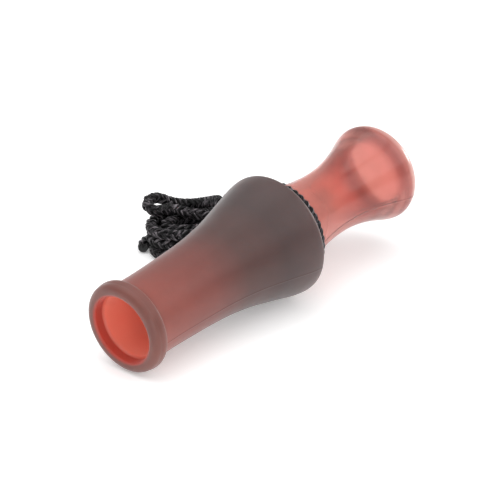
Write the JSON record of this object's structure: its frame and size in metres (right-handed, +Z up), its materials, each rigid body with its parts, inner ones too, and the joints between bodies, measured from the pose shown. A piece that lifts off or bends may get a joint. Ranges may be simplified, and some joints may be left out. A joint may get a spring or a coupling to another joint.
{
  "type": "duck call",
  "caption": "Moulded duck call: barrel with rolled mouth rim and flared skirt, pull-out insert with exhaust bell, inner tone board with reeds, braided lanyard in a hank.",
  "frame": {"origin": "on the surface that the call lies on, under the middle of the call without its lanyard", "axes": "+X from the mouth rim to the exhaust bell, +Z up, +Y to the side where the lanyard's hank lies"},
  "size_m": [0.1216, 0.0714, 0.039],
  "materials": {
    "barrel": "satin smoky red moulded plastic",
    "insert": "satin salmon red moulded plastic",
    "tone_board": "dark moulded plastic",
    "reed_film": "clear polyester film",
    "cork": "cork",
    "seal": "black rubber",
    "cord": "black braided nylon cord",
    "tie": "black rubber band"
  },
  "bodies": {
    "barrel": {"barrel": "barrel"},
    "lanyard": {"lanyard_loop": "cord", "lanyard_knot": "cord", "lanyard_lead": "cord", "lanyard_hank": "cord", "hank_tie": "tie"},
    "insert": {"insert": "insert", "tone_board": "tone_board", "reed_wedge": "cork", "o_ring_front": "seal", "o_ring_rear": "seal"},
    "reed_long": {"reed_long": "reed_film"},
    "reed_short": {"reed_short": "reed_film"}
  },
  "joints": [
    {"name": "insert_pull", "type": "slide", "parent": "barrel", "child": "lanyard", "axis": [0.9967, 0, 0.081], "range_m": [0, 0.05]},
    {"name": "insert_twist", "type": "hinge", "parent": "lanyard", "child": "insert", "pos_m": [-0.00003, 0, 0.01887], "axis": [0.9967, 0, 0.081], "continuous": true},
    {"name": "reed_long_flex", "type": "hinge", "parent": "insert", "child": "reed_long", "pos_m": [-0.01502, 0, 0.01811], "axis": [0, 1, 0], "range_deg": [-2.4, 0], "stiffness_Nm_per_rad": 0.05},
    {"name": "reed_short_flex", "type": "hinge", "parent": "insert", "child": "reed_short", "pos_m": [-0.01507, 0, 0.01871], "axis": [0, 1, 0], "range_deg": [-2.4, 0], "stiffness_Nm_per_rad": 0.05}
  ],
  "couplings": [
    {"joint": "reed_short_flex", "follows": "reed_long_flex", "ratio": 1}
  ]
}
